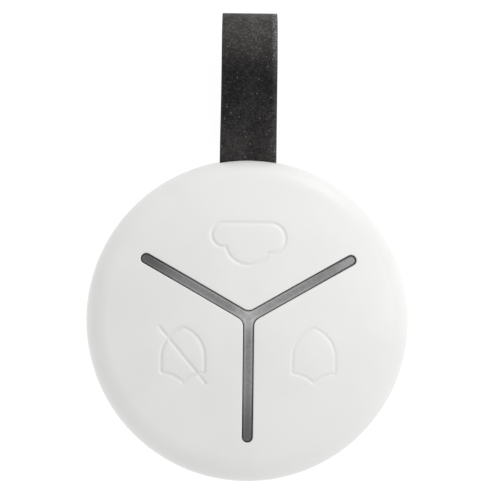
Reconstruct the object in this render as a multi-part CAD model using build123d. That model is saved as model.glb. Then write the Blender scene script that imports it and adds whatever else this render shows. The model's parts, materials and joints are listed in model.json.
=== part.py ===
"""A round three-button key fob with a short strap loop, built as its separate pieces.

The fob lies on its back: +Z leaves the front face, +Y points along the strap, and the origin is the
centre of the flat back. The front cover has a Y-shaped slot for a smoked light guide, and the three
sectors between the arms of the Y are the buttons. Each is a petal that bends at the rim and presses
a small switch on the circuit board. A coin cell sits under the board, behind a twist-off door.
All sizes are in millimetres.
"""

from build123d import *
import math
import os

# Outer form: a shallow dome, a rounded rim and a flat back
DISC_DIAMETER = 42.0
THICKNESS = 11.0
DOME_RISE = 3.224256  # from the dome's edge, before the rim is rounded, to its middle
TOP_EDGE_RADIUS = 3.7
BASE_EDGE_RADIUS = 4.2
SMALLEST_EDGE = 0.3
WALL = 1.3
PARTING_SHARE = 5.0 / 11.0  # height of the joint line between the covers, as a share of the thickness
SEAM_DEPTH = 0.3
SEAM_HEIGHT = 0.2

# The Y-shaped slot and the three button petals
ARM_ANGLES = (270, 30, 150)
BUTTON_ANGLES = {"upper": 90, "lower_left": 210, "lower_right": 330}
SLOT_WIDTH = 1.42
RIM_BAND = 4.95  # from the end of an arm to the rim
JUNCTION_RADIUS = 1.2
PETAL_MARGIN = 0.6  # from a petal's outer edge to the end of the arms
PETAL_THICKNESS = 1.2
HAIRLINE = 0.1
HINGE_MARGIN = 0.8  # from the bending line to the petal's outer edge
HINGE_GROOVE_WIDTH = 0.7
HINGE_GROOVE_DEPTH = 0.5
POST_RADIUS = 1.2
POST_GAP = 0.05

# Recessed symbols on the buttons
SYMBOL_RING = 9.78
SYMBOL_STROKE = 0.7
SYMBOL_DEPTH = 0.18
SHIELD_HALF_WIDTH = 2.8
SHIELD_TIP = 3.6
SHIELD_SHOULDER = -0.26  # where the arch meets the straight sides
SHIELD_CORNER = -2.25
SHIELD_SWEEP = (1.15, -2.65)
SHIELD_PEAK = -3.46
SLASH_START = (-3.0, 3.6)
SLASH_END = (2.88, -3.5)
CLOUD_TOP = 2.58
CLOUD_LEFT = (-3.28, 1.58)  # how far along the flat side, and the radius
CLOUD_RIGHT = (2.7, 2.01)
CLOUD_MIDDLE = (-0.08, 0.12, 3.03)  # the centre and the radius

# The smoked light guide
GUIDE_GAP = 0.12
GUIDE_RECESS = 0.25
GUIDE_BEVEL = 0.18
GUIDE_FOOT_WIDTH = 2.6
GUIDE_FOOT_HEIGHT = 1.0
GUIDE_FOOT_REACH = 12.5
GUIDE_PEG_RADIUS = 0.6
GUIDE_PEG_RING = 11.2
PEG_CLEARANCE = 0.05

# Coin cell and its door
CELL_DIAMETER = 20.0
CELL_HEIGHT = 3.2
CELL_CAP_RADIUS = 8.9
CELL_CAP_HEIGHT = 0.45
CELL_CRIMP = 0.35
CELL_EDGE = 0.5
CELL_CLEARANCE = 0.35
CELL_SEAT_GAP = 0.1
DOOR_RECESS = 0.15
DOOR_PLATE = 1.15
DOOR_FLANGE = 0.85
DOOR_GAP = 0.1
SPIGOT_WALL = 0.85
SEAL_SECTION = 0.8
SEAL_CLEARANCE = 0.05
LEDGE_HEIGHT = 0.65
LEDGE_GAP = 0.2
LUG_HEIGHT = 0.65
LUG_SPAN = 22.0  # in degrees, like the other angles of the bayonet
LUG_COUNT = 3
LUG_CLEARANCE = 0.1
COLLAR_WALL = 1.2
TWIST_ANGLE = 30.0
NOTCH_PLAY = 2.0
STOP_SPAN = 4.0
STOP_PLAY = 0.5
COIN_SLOT_LENGTH = 9.0
COIN_SLOT_WIDTH = 1.5
COIN_SLOT_DEPTH = 0.6
MARK_DEPTH = 0.2
MARK_RADIUS = 0.4

# Circuit board and what is on it
BOARD_THICKNESS = 0.8
BOARD_EDGE_GAP = 0.3
CONTACT_SHARE = 0.42  # of the spare height in the stack, the part under the board
CONTACT_THICKNESS = 0.2
CONTACT_WIDTH = 3.0
CONTACT_PLAY = 0.02
LEAF_FOOT = 6.0  # half-lengths of the leaf spring under the board
LEAF_KNEE = 4.6
LEAF_TOUCH = 1.4
SWITCH_RING = 6.5
SWITCH_SIZE = 4.0
SWITCH_BODY_HEIGHT = 1.3
SWITCH_HEIGHT = 1.7
SWITCH_TRAVEL = 0.22
SWITCH_LID = 0.25
PLUNGER_RADIUS = 0.85
PLUNGER_FLANGE = 1.1
PLUNGER_FLANGE_HEIGHT = 0.12
PLUNGER_PLAY = 0.05
SNAP_DOME_SHEET = 0.08
SNAP_DOME_PRESSED = 0.36  # its height when the switch is closed
TERMINAL_SIZE = (0.6, 0.7, 0.15)
LED_RING = 9.0
LED_SIZE = (1.6, 0.8, 0.55)
LED_PLAY = 0.25
CHIP_SIZE = (4.0, 4.0, 0.85)
CRYSTAL_SIZE = (2.0, 1.6, 0.5)
ANTENNA_SIZE = (5.0, 2.0, 1.0)
ANTENNA_RING = 12.3
CAPACITOR_SIZE = (1.0, 0.5, 0.5)
RESISTOR_SIZE = (1.0, 0.5, 0.3)
CHIP_SPACING = 1.4
CAPACITOR_SPOTS = ((3.2, 90), (3.2, 210), (3.2, 330), (12.2, 3), (12.4, 174), (12.4, 228))  # ring and angle
RESISTOR_SPOTS = ((10.9, 123), (10.8, 348), (13.0, 319), (12.9, 57), (11.6, 186), (13.4, 288))

# Inner frame that carries the board and rings the cell
FRAME_MARGIN = 0.5
FORK_WALL = 0.7
FORK_HEIGHT = 0.8
FORK_CLEARANCE = 0.1
FORK_REACH = 0.8  # past the middle of a boss
HOOK_ANGLES = (0, 180, 240, 300)
HOOK_WIDTH = 3.0
HOOK_WALL = 0.8
HOOK_NOSE = 0.4
HOOK_HEIGHT = 0.3
HOOK_CLEARANCE = 0.05

# Case screws and the lip between the covers
SCREW_ANGLES = (45, 135, 225, 315)
BOSS_RADIUS = 1.6
BOSS_OVERLAP = 0.1  # how far the opening round the petals cuts into the bosses
SCREW_RADIUS = 0.8
SCREW_CLEARANCE = 0.02
SCREW_HEAD_RADIUS = 1.3
SCREW_HEAD_CLEARANCE = 0.1
SCREW_HEAD_HEIGHT = 1.1
SCREW_SEAT = 1.7
SCREW_TIP_GAP = 0.4
DRIVE_RADIUS = 0.75
DRIVE_WIDTH = 0.3
DRIVE_DEPTH = 0.6
LIP_THICKNESS = 0.6
LIP_DEPTH = 1.0
LIP_CLEARANCE = 0.05

# The strap, a flat band folded into a loop, and its crimp
STRAP_WIDTH = 7.25
STRAP_THICKNESS = 0.9
STRAP_REACH = 19.3  # from the rim to the fold
STRAP_PIVOT_OUT = 0.5  # the band bends this far outside the rim
STRAP_SWING = 60.0  # degrees either way
STRAP_ROOT = 0.7
LOOP_HALF_BULGE = 3.3  # middle of the band to the loop's mid-plane, at its widest
LOOP_WIDEST_FROM_FOLD = 6.0
LOOP_ROOT_BEND = 8.0
LOOP_FOLD_RADIUS = 2.6
LOOP_CUSP_GAP = 0.3
KNUCKLE_CLEARANCE = 0.05
STRAP_RELIEF = 0.31  # how far the rim stands back above the strap
STRAP_SLOT_PLAY = 0.2
STRAP_SLOT_ROOM = 0.25
CRIMP_SIDE = 0.8
CRIMP_SHEET = 0.4
CRIMP_LENGTH = 3.25
CRIMP_SETBACK = 2.65
CRIMP_REST_GAP = 0.05
POCKET_RIB = 0.85
POCKET_RIB_GAP = 0.05
BOARD_NOTCH_GAP = 0.3

# Radii worked out from the sizes above
RADIUS = DISC_DIAMETER / 2
DOME_RADIUS = (RADIUS**2 + DOME_RISE**2) / (2 * DOME_RISE)
INNER_RADIUS = RADIUS - WALL
SLOT_REACH = RADIUS - RIM_BAND
PETAL_RADIUS = SLOT_REACH - PETAL_MARGIN
OPENING_RADIUS = PETAL_RADIUS + HAIRLINE
HINGE_DISTANCE = PETAL_RADIUS - HINGE_MARGIN
BOARD_RADIUS = OPENING_RADIUS - BOARD_EDGE_GAP
BOSS_RING = OPENING_RADIUS + BOSS_RADIUS - BOSS_OVERLAP
CELL_RADIUS = CELL_DIAMETER / 2
SPIGOT_INNER = CELL_RADIUS + CELL_CLEARANCE
SPIGOT_OUTER = SPIGOT_INNER + SPIGOT_WALL
LEDGE_RADIUS = SPIGOT_OUTER + LEDGE_GAP
BORE_RADIUS = SPIGOT_OUTER + SEAL_SECTION + 2 * SEAL_CLEARANCE
LUG_RADIUS = BORE_RADIUS - LUG_CLEARANCE
FLANGE_RADIUS = BORE_RADIUS + 2 * LEDGE_GAP
COLLAR_RADIUS = BORE_RADIUS + COLLAR_WALL
FRAME_OUTER = BOARD_RADIUS - FRAME_MARGIN
LIP_OUTER = INNER_RADIUS - LIP_CLEARANCE
LIP_INNER = LIP_OUTER - LIP_THICKNESS

# Heights worked out from the sizes above
PARTING_HEIGHT = THICKNESS * PARTING_SHARE
DOOR_FLANGE_TOP = DOOR_RECESS + DOOR_FLANGE
DOOR_PLATE_TOP = DOOR_RECESS + DOOR_PLATE
SEAL_BOTTOM = DOOR_FLANGE_TOP + SEAL_CLEARANCE
LEDGE_BOTTOM = SEAL_BOTTOM + SEAL_SECTION + DOOR_GAP
LEDGE_TOP = LEDGE_BOTTOM + LEDGE_HEIGHT
LUG_BOTTOM = LEDGE_TOP + LUG_CLEARANCE
LUG_TOP = LUG_BOTTOM + LUG_HEIGHT
COLLAR_TOP = LUG_TOP + 2 * LUG_CLEARANCE
CELL_BOTTOM = DOOR_PLATE_TOP + CELL_SEAT_GAP
CELL_TOP = CELL_BOTTOM + CELL_HEIGHT
CELL_CAN_TOP = CELL_TOP - CELL_CAP_HEIGHT


def dome_height(radius, offset=0.0):
    """Height of the front surface at a distance from the middle, or of the surface offset under it."""
    return THICKNESS - DOME_RADIUS + math.sqrt((DOME_RADIUS - offset) ** 2 - radius**2)


PETAL_UNDERSIDE = dome_height(SWITCH_RING + POST_RADIUS, PETAL_THICKNESS)
SPARE_HEIGHT = PETAL_UNDERSIDE - POST_GAP - SWITCH_HEIGHT - BOARD_THICKNESS - CELL_TOP
BOARD_BOTTOM = CELL_TOP + SPARE_HEIGHT * CONTACT_SHARE
BOARD_TOP = BOARD_BOTTOM + BOARD_THICKNESS
SWITCH_TOP = BOARD_TOP + SWITCH_HEIGHT
SWITCH_LID_BOTTOM = BOARD_TOP + SWITCH_BODY_HEIGHT - SWITCH_LID
PLUNGER_BOTTOM = SWITCH_LID_BOTTOM - PLUNGER_PLAY / 2 - PLUNGER_FLANGE_HEIGHT
SWITCH_FLOOR = PLUNGER_BOTTOM - SWITCH_TRAVEL - SNAP_DOME_PRESSED
POST_BOTTOM = SWITCH_TOP + POST_GAP
SCREW_TIP = dome_height(BOSS_RING, WALL) - SCREW_TIP_GAP

# Places along the strap
STRAP_PIVOT = RADIUS + STRAP_PIVOT_OUT
CRIMP_FRONT = RADIUS - CRIMP_SETBACK
CRIMP_BACK = CRIMP_FRONT - CRIMP_LENGTH
POCKET_BACK = CRIMP_BACK - POCKET_RIB_GAP - POCKET_RIB
BOARD_NOTCH = POCKET_BACK - BOARD_NOTCH_GAP
CHIP_RING = (SWITCH_RING + SWITCH_SIZE / 2 + BOARD_NOTCH) / 2
CRIMP_WIDTH = STRAP_WIDTH + 2 * CRIMP_SIDE
CRIMP_HALF_HEIGHT = STRAP_THICKNESS + CRIMP_SHEET
BLOCK_WIDTH = CRIMP_WIDTH + CRIMP_SIDE
NOTCH_WIDTH = BLOCK_WIDTH + 2 * BOARD_NOTCH_GAP
STRAP_SLOT_WIDTH = STRAP_WIDTH + 2 * STRAP_SLOT_PLAY
STRAP_SLOT_HEIGHT = 2 * (STRAP_THICKNESS + STRAP_SLOT_ROOM)
SLICE = THICKNESS + 10.0  # longer than anything it cuts


def disc(radius, bottom, top):
    """An upright cylinder about the Z axis."""
    return Pos(0, 0, bottom) * Cylinder(radius, top - bottom, align=(Align.CENTER, Align.CENTER, Align.MIN))


def ring(inner, outer, bottom, top):
    return disc(outer, bottom, top) - disc(inner, bottom, top)


def ring_sector(inner, outer, middle_angle, span, bottom, top):
    """The part of a ring that spans an angle, in degrees."""
    pie = Cylinder(outer, top - bottom, arc_size=span, align=(Align.NONE, Align.NONE, Align.MIN))
    turned = Pos(0, 0, bottom) * Rot(0, 0, middle_angle - span / 2) * pie
    return turned - disc(inner, bottom - 1, top + 1)


def block(x_low, x_high, y_low, y_high, bottom, top):
    """A box between two corners."""
    size = Box(x_high - x_low, y_high - y_low, top - bottom, align=(Align.MIN, Align.MIN, Align.MIN))
    return Pos(x_low, y_low, bottom) * size


def chip(size, x, y, bottom, angle=0.0):
    """A component of a given size that stands on a height, turned about Z."""
    body = Box(*size, align=(Align.CENTER, Align.CENTER, Align.MIN))
    return Pos(x, y, bottom) * Rot(0, 0, angle) * body


def polar(radius, angle):
    return radius * math.cos(math.radians(angle)), radius * math.sin(math.radians(angle))


def upright(radius, angle, post_radius, bottom, top):
    """An upright cylinder at a polar place."""
    return Pos(*polar(radius, angle), 0) * disc(post_radius, bottom, top)


def group(solids):
    """Separate solids that share a node."""
    return Compound(children=[part for item in solids for part in item.solids()])


def pebble(offset=0.0):
    """The fob's full outer form, or the same form with its skin taken off by an offset."""
    side = RADIUS - offset
    edge = max(TOP_EDGE_RADIUS - offset, SMALLEST_EDGE)
    base = max(BASE_EDGE_RADIUS - offset, SMALLEST_EDGE)
    dome = DOME_RADIUS - offset
    dome_centre = THICKNESS - DOME_RADIUS
    edge_centre = dome_centre + math.sqrt((dome - edge) ** 2 - (side - edge) ** 2)
    lean = math.atan2(side - edge, edge_centre - dome_centre)
    meet = (dome * math.sin(lean), dome_centre + dome * math.cos(lean))
    edge_middle = (math.pi / 2 + lean) / 2
    edge_through = (side - edge + edge * math.sin(edge_middle), edge_centre + edge * math.cos(edge_middle))
    dome_through = (dome * math.sin(lean / 2), dome_centre + dome * math.cos(lean / 2))
    slant = base * (1 - math.sqrt(0.5))
    apex = (0, dome_centre + dome)
    outline = (
        Line((0, offset), (side - base, offset))
        + ThreePointArc((side - base, offset), (side - slant, offset + slant), (side, offset + base))
        + Line((side, offset + base), (side, edge_centre))
        + ThreePointArc((side, edge_centre), edge_through, meet)
        + ThreePointArc(meet, dome_through, apex)
        + Line(apex, (0, offset))
    )
    return revolve(Plane.XZ * make_face(outline), Axis.Z)


def y_plan(width, reach, junction):
    """Three round-ended arms that meet in the middle with rounded inner corners."""
    straight = reach - width / 2
    plan = Sketch()
    for angle in ARM_ANGLES:
        bar = Pos(straight / 2, 0) * Rectangle(straight, width)
        plan += Rot(0, 0, angle) * (bar + Pos(straight, 0) * Circle(width / 2))
    inner_corners = [v for v in plan.vertices() if math.hypot(v.X, v.Y) < width]
    return fillet(inner_corners, junction)


def prism(plan, bottom=-1.0, top=SLICE):
    return Pos(0, 0, bottom) * extrude(plan, amount=top - bottom)


def stroke(path):
    """A line of the symbols' width along a path, with round ends."""
    width = SYMBOL_STROKE
    plan = trace(path, width)
    for edge in path.edges():
        for end in (edge.position_at(0), edge.position_at(1)):
            plan += Pos(end.X, end.Y) * Circle(width / 2)
    return plan


def shield_path():
    """An outline with straight sides, a pointed arch at one end and a swept peak at the other."""
    half = SHIELD_HALF_WIDTH
    rise = SHIELD_TIP - SHIELD_SHOULDER
    arch = (half**2 + rise**2) / (2 * half)
    through_x = half - arch + math.sqrt(arch**2 - (rise / 2) ** 2)
    through_y = SHIELD_SHOULDER + rise / 2
    sweep_x, sweep_y = SHIELD_SWEEP
    path = Curve()
    for hand in (-1, 1):
        shoulder, corner = (hand * half, SHIELD_SHOULDER), (hand * half, SHIELD_CORNER)
        path += ThreePointArc((0, SHIELD_TIP), (hand * through_x, through_y), shoulder)
        path += Line(shoulder, corner)
        path += ThreePointArc(corner, (hand * sweep_x, sweep_y), (0, SHIELD_PEAK))
    return path


def circles_meet(first, second):
    """The lower point where two circles cross; each is its centre and radius."""
    (x1, y1, r1), (x2, y2, r2) = first, second
    apart = math.hypot(x2 - x1, y2 - y1)
    along = (apart**2 + r1**2 - r2**2) / (2 * apart)
    across = math.sqrt(r1**2 - along**2)
    unit_x, unit_y = (x2 - x1) / apart, (y2 - y1) / apart
    return x1 + along * unit_x + across * unit_y, y1 + along * unit_y - across * unit_x


def lobe(circle, start, end):
    """The clockwise arc of a circle from one of its points to another."""
    x, y, radius = circle
    first = math.atan2(start[1] - y, start[0] - x)
    last = math.atan2(end[1] - y, end[0] - x)
    middle = first - (first - last) % (2 * math.pi) / 2
    return ThreePointArc(start, (x + radius * math.cos(middle), y + radius * math.sin(middle)), end)


def cloud_path():
    """A cloud with its flat side towards the strap and its three lobes away from it."""
    left_x, left_radius = CLOUD_LEFT
    right_x, right_radius = CLOUD_RIGHT
    left = (left_x, CLOUD_TOP - left_radius, left_radius)
    right = (right_x, CLOUD_TOP - right_radius, right_radius)
    left_top, right_top = (left_x, CLOUD_TOP), (right_x, CLOUD_TOP)
    left_meet = circles_meet(left, CLOUD_MIDDLE)
    right_meet = circles_meet(CLOUD_MIDDLE, right)
    return (
        Line(left_top, right_top)
        + lobe(right, right_top, right_meet)
        + lobe(CLOUD_MIDDLE, right_meet, left_meet)
        + lobe(left, left_meet, left_top)
    )


def symbol_plan(button):
    """The lines that are pressed into a button."""
    if button == "upper":
        return stroke(cloud_path())
    plan = stroke(shield_path())
    if button == "lower_left":
        plan += stroke(Curve() + Line(SLASH_START, SLASH_END))
    return plan


def petal_plan(button):
    """The sector of the front face between two arms of the Y."""
    sectors = Circle(PETAL_RADIUS) - y_plan(SLOT_WIDTH, SLOT_REACH, JUNCTION_RADIUS)
    x, y = polar(PETAL_RADIUS / 2, BUTTON_ANGLES[button])
    return min(sectors.faces(), key=lambda face: math.hypot(face.center().X - x, face.center().Y - y))


def make_button(button):
    """A petal of the front face with its symbol, the post over its switch and a thin line to bend at."""
    angle = BUTTON_ANGLES[button]
    petal = (pebble() - pebble(PETAL_THICKNESS)) & prism(petal_plan(button), PARTING_HEIGHT)
    post = upright(SWITCH_RING, angle, POST_RADIUS, POST_BOTTOM, THICKNESS) & pebble(PETAL_THICKNESS / 2)
    symbol = prism(Pos(*polar(SYMBOL_RING, angle)) * symbol_plan(button), PARTING_HEIGHT)
    bend_low = HINGE_DISTANCE - HINGE_GROOVE_WIDTH / 2
    bend_high = HINGE_DISTANCE + HINGE_GROOVE_WIDTH / 2
    bend_top = dome_height(HINGE_DISTANCE, PETAL_THICKNESS) + HINGE_GROOVE_DEPTH
    groove = block(bend_low, bend_high, -PETAL_RADIUS, PETAL_RADIUS, PARTING_HEIGHT, bend_top)
    return petal + post - Rot(0, 0, angle) * groove - (symbol - pebble(SYMBOL_DEPTH))


def strap_slot():
    """The way out for the strap, through both covers at the joint line."""
    half = STRAP_SLOT_HEIGHT / 2
    middle = PARTING_HEIGHT
    width = STRAP_SLOT_WIDTH / 2
    return block(-width, width, CRIMP_FRONT - 1, RADIUS + 1, middle - half, middle + half)


def seam():
    """The shadow line round the joint between the covers."""
    half = SEAM_HEIGHT / 2
    return ring(RADIUS - SEAM_DEPTH, RADIUS + 1, PARTING_HEIGHT - half, PARTING_HEIGHT + half)


def make_front_cover():
    """The upper shell: rim and dome round the petals, four screw bosses, a lip and the strap's gate."""
    skin = pebble() - pebble(WALL)
    cover = skin & disc(RADIUS + 1, PARTING_HEIGHT, SLICE)
    lip = ring(LIP_INNER, LIP_OUTER, PARTING_HEIGHT - LIP_DEPTH, PARTING_HEIGHT + SMALLEST_EDGE)
    lip += ring(LIP_INNER, INNER_RADIUS + WALL / 4, PARTING_HEIGHT + SEAM_HEIGHT, PARTING_HEIGHT + LIP_DEPTH)
    gate_half = BLOCK_WIDTH / 2
    cover += lip - block(-gate_half - LIP_DEPTH, gate_half + LIP_DEPTH, 0, RADIUS, 0, PARTING_HEIGHT)
    for angle in SCREW_ANGLES:
        cover += upright(BOSS_RING, angle, BOSS_RADIUS, PARTING_HEIGHT, THICKNESS) & pebble(WALL / 2)
    gate = block(-gate_half, gate_half, CRIMP_FRONT, RADIUS, PARTING_HEIGHT, THICKNESS)
    clamp_bottom = PARTING_HEIGHT + CRIMP_HALF_HEIGHT + CRIMP_REST_GAP
    clamp_back = OPENING_RADIUS + HAIRLINE
    clamp = block(-gate_half, gate_half, clamp_back, CRIMP_FRONT + WALL, clamp_bottom, THICKNESS)
    cover += (gate + clamp) & pebble(WALL / 2)
    cover -= disc(OPENING_RADIUS, BOARD_TOP, SLICE)
    cover -= prism(y_plan(SLOT_WIDTH, SLOT_REACH, JUNCTION_RADIUS), BOARD_TOP)
    for angle in SCREW_ANGLES:
        hole_top = SCREW_TIP + SCREW_TIP_GAP / 2
        cover -= upright(BOSS_RING, angle, SCREW_RADIUS + SCREW_CLEARANCE, 0, hole_top)
    half = STRAP_SLOT_WIDTH / 2
    relief = block(-half, half, 0, RADIUS + 1, PARTING_HEIGHT, SLICE) - disc(RADIUS - STRAP_RELIEF, 0, SLICE)
    return cover - strap_slot() - seam() - relief


def lug_angles():
    return [number * 360 / LUG_COUNT for number in range(LUG_COUNT)]


def make_bayonet():
    """The ledge that holds the door's lugs, with a notch and two stops for each lug."""
    wall_side = BORE_RADIUS + COLLAR_WALL / 2
    stop_offset = (LUG_SPAN + STOP_SPAN) / 2 + STOP_PLAY
    notch_span = LUG_SPAN + 2 * NOTCH_PLAY
    ledge = ring(LEDGE_RADIUS, wall_side, LEDGE_BOTTOM, LEDGE_TOP)
    for angle in lug_angles():
        ledge -= ring_sector(0, BORE_RADIUS, angle - TWIST_ANGLE, notch_span, LEDGE_BOTTOM - 1, LEDGE_TOP + 1)
    for angle in lug_angles():
        for stop in (angle + stop_offset, angle - TWIST_ANGLE - stop_offset):
            ledge += ring_sector(LEDGE_RADIUS, wall_side, stop, STOP_SPAN, LEDGE_BOTTOM, LUG_TOP)
    return ledge


def make_rear_cover():
    """The lower shell: flat back, collar for the door, four screw towers and the strap's block."""
    skin = pebble() - pebble(WALL)
    cover = skin & disc(RADIUS + 1, 0, PARTING_HEIGHT)
    cover += ring(BORE_RADIUS, COLLAR_RADIUS, WALL / 2, COLLAR_TOP)
    for angle in SCREW_ANGLES:
        cover += upright(BOSS_RING, angle, BOSS_RADIUS, WALL / 2, PARTING_HEIGHT) & pebble(WALL / 2)
    half = BLOCK_WIDTH / 2
    gate = block(-half, half, CRIMP_FRONT, RADIUS, WALL / 2, PARTING_HEIGHT)
    rest_top = PARTING_HEIGHT - CRIMP_HALF_HEIGHT
    rest = block(-half, half, CRIMP_BACK, CRIMP_FRONT, WALL / 2, rest_top)
    rib_front = CRIMP_BACK - POCKET_RIB_GAP
    rib = block(-half, half, rib_front - POCKET_RIB, CRIMP_BACK, WALL / 2, rest_top)
    rib += block(-half, half, rib_front - POCKET_RIB, rib_front, WALL / 2, PARTING_HEIGHT)
    cover += (gate + rest + rib) & pebble(WALL / 2)
    cover -= disc(FLANGE_RADIUS, -1, DOOR_FLANGE_TOP + DOOR_GAP)
    cover -= disc(BORE_RADIUS, 0, SLICE)
    cover += make_bayonet()
    for angle in SCREW_ANGLES:
        cover -= upright(BOSS_RING, angle, SCREW_RADIUS + 2 * SCREW_CLEARANCE, -1, SLICE)
        cover -= upright(BOSS_RING, angle, SCREW_HEAD_RADIUS + SCREW_HEAD_CLEARANCE, -1, SCREW_SEAT)
    mark_ring = (FLANGE_RADIUS + RADIUS - BASE_EDGE_RADIUS) / 2
    for mark_angle, mark_radius in ((0, MARK_RADIUS), (-TWIST_ANGLE, MARK_RADIUS / 2)):
        cover -= upright(mark_ring, mark_angle, mark_radius, -1, MARK_DEPTH)
    return cover - strap_slot() - seam()


def make_light_guide():
    """The smoked Y that fills the slot, with a foot over the lamps and three pegs into the board."""
    gap = GUIDE_GAP
    plan = y_plan(SLOT_WIDTH - 2 * gap, SLOT_REACH - gap, JUNCTION_RADIUS + gap)
    foot_top = BOARD_TOP + GUIDE_FOOT_HEIGHT
    blade = prism(plan, foot_top) & pebble(GUIDE_RECESS)
    top_face = max(blade.faces(), key=lambda face: face.center().Z)
    blade = chamfer(top_face.edges(), GUIDE_BEVEL)
    foot_plan = y_plan(GUIDE_FOOT_WIDTH, GUIDE_FOOT_REACH, JUNCTION_RADIUS)
    guide = blade + prism(foot_plan, BOARD_TOP, foot_top)
    pocket = [size + 2 * LED_PLAY for size in LED_SIZE]
    for angle in ARM_ANGLES:
        guide += upright(GUIDE_PEG_RING, angle, GUIDE_PEG_RADIUS, BOARD_BOTTOM, foot_top)
        guide -= chip(pocket, *polar(LED_RING, angle), BOARD_TOP - LED_PLAY, angle)
    return guide


def make_board():
    """The round circuit board, notched for the strap's pocket and drilled for the guide's pegs."""
    half = NOTCH_WIDTH / 2
    board = disc(BOARD_RADIUS, BOARD_BOTTOM, BOARD_TOP)
    board -= block(-half, half, BOARD_NOTCH, RADIUS, 0, THICKNESS)
    for angle in ARM_ANGLES:
        board -= upright(GUIDE_PEG_RING, angle, GUIDE_PEG_RADIUS + PEG_CLEARANCE, 0, THICKNESS)
    return board


def make_inner_frame():
    """The ring round the cell that carries the board and hooks over its edge."""
    frame = ring(SPIGOT_INNER, FRAME_OUTER, COLLAR_TOP, BOARD_BOTTOM)
    notch_half = NOTCH_WIDTH / 2
    hole = BOSS_RADIUS + FORK_CLEARANCE
    for angle in SCREW_ANGLES:
        fork = upright(BOSS_RING, angle, hole + FORK_WALL, COLLAR_TOP, COLLAR_TOP + FORK_HEIGHT)
        web = block(FRAME_OUTER - WALL, BOSS_RING, -hole, hole, COLLAR_TOP, COLLAR_TOP + FORK_HEIGHT)
        fork += Rot(0, 0, angle) * web
        fork &= disc(BOSS_RING + FORK_REACH, 0, SLICE)
        frame += fork - upright(BOSS_RING, angle, hole, 0, SLICE)
    for angle in HOOK_ANGLES:
        inner = BOARD_RADIUS + HOOK_CLEARANCE
        outer = inner + HOOK_WALL
        half = HOOK_WIDTH / 2
        nose_bottom = BOARD_TOP + HOOK_CLEARANCE / 2
        hook = block(FRAME_OUTER - WALL, outer, -half, half, COLLAR_TOP, BOARD_BOTTOM)
        hook += block(inner, outer, -half, half, COLLAR_TOP, BOARD_TOP + HOOK_HEIGHT)
        hook += block(inner - HOOK_NOSE, outer, -half, half, nose_bottom, BOARD_TOP + HOOK_HEIGHT)
        frame += Rot(0, 0, angle) * hook
    frame -= block(-notch_half, notch_half, BOARD_NOTCH, RADIUS, 0, THICKNESS)
    window = CONTACT_WIDTH / 2 + CELL_CLEARANCE
    return frame - block(-SPIGOT_OUTER - 1, -CELL_RADIUS, -window, window, 0, THICKNESS)


def make_cell_can():
    """The steel cup that is the positive side of the coin cell."""
    can = disc(CELL_RADIUS, CELL_BOTTOM, CELL_CAN_TOP)
    base_edges = can.edges().filter_by(GeomType.CIRCLE).sort_by(Axis.Z)[:1]
    can = fillet(base_edges, CELL_EDGE)
    cavity = disc(CELL_RADIUS - CELL_CRIMP, CELL_BOTTOM + CELL_CRIMP, CELL_CAN_TOP)
    return can - cavity


def make_cell_cap():
    """The lid that is the negative side of the coin cell, with what fills the cell under it."""
    cap = disc(CELL_CAP_RADIUS, CELL_BOTTOM + CELL_CRIMP, CELL_TOP)
    top_edges = cap.edges().filter_by(GeomType.CIRCLE).sort_by(Axis.Z)[-1:]
    return fillet(top_edges, CELL_CRIMP / 2)


def make_cell_gasket():
    """The plastic ring that keeps the cell's cap from its can."""
    ring_top = CELL_CAN_TOP + CELL_CRIMP / 3
    return ring(CELL_CAP_RADIUS, CELL_RADIUS - CELL_CRIMP, CELL_BOTTOM + CELL_CRIMP, ring_top)


def bent_strip(points, width):
    """A strip of sheet metal through points in the XZ plane, as wide as given along Y."""
    outline = trace(Curve() + Polyline(*points), CONTACT_THICKNESS)
    return extrude(Plane.XZ * outline, amount=width / 2, both=True)


def make_negative_contact():
    """The leaf spring under the board that presses on the cell's cap."""
    half = CONTACT_THICKNESS / 2
    high = BOARD_BOTTOM - half
    low = CELL_TOP + CONTACT_PLAY + half
    half_leaf = ((LEAF_TOUCH, low), (LEAF_KNEE, high), (LEAF_FOOT, high))
    mirrored = [(-x, z) for x, z in reversed(half_leaf)]
    return bent_strip((*mirrored, *half_leaf), CONTACT_WIDTH)


def make_positive_contact():
    """The spring finger under the board that presses on the side of the cell's can."""
    half = CONTACT_THICKNESS / 2
    high = BOARD_BOTTOM - half
    touch_x = -CELL_RADIUS - CONTACT_PLAY - half
    touch_z = CELL_CAN_TOP - CONTACT_THICKNESS
    tail_z = COLLAR_TOP + half + HAIRLINE
    points = (
        (-SPIGOT_OUTER - SEAL_SECTION, high),
        (-SPIGOT_INNER - CELL_CLEARANCE, high),
        (touch_x, touch_z),
        (touch_x - CELL_CLEARANCE, tail_z),
    )
    return bent_strip(points, CONTACT_WIDTH)


def at_switch(button, shape):
    """A shape modelled about the Z axis, moved to its switch and turned to face the middle."""
    angle = BUTTON_ANGLES[button]
    return Pos(*polar(SWITCH_RING, angle), 0) * Rot(0, 0, angle - 90) * shape


def make_switch_body(button):
    """A low square housing with a well for the snap dome and a round hole for the plunger."""
    half = SWITCH_SIZE / 2
    body = block(-half, half, -half, half, BOARD_TOP, BOARD_TOP + SWITCH_BODY_HEIGHT)
    body = chamfer(body.edges().filter_by(Axis.Z), SWITCH_SIZE / 10)
    body -= disc(PLUNGER_FLANGE + 2 * PLUNGER_PLAY, SWITCH_FLOOR, SWITCH_LID_BOTTOM)
    body -= disc(PLUNGER_RADIUS + PLUNGER_PLAY, PLUNGER_BOTTOM, SLICE)
    return at_switch(button, body)


def make_switch_plunger(button):
    """The switch's stem, whose flange keeps it under the lid."""
    flange = disc(PLUNGER_FLANGE, PLUNGER_BOTTOM, PLUNGER_BOTTOM + PLUNGER_FLANGE_HEIGHT)
    return at_switch(button, disc(PLUNGER_RADIUS, PLUNGER_BOTTOM, SWITCH_TOP) + flange)


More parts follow.
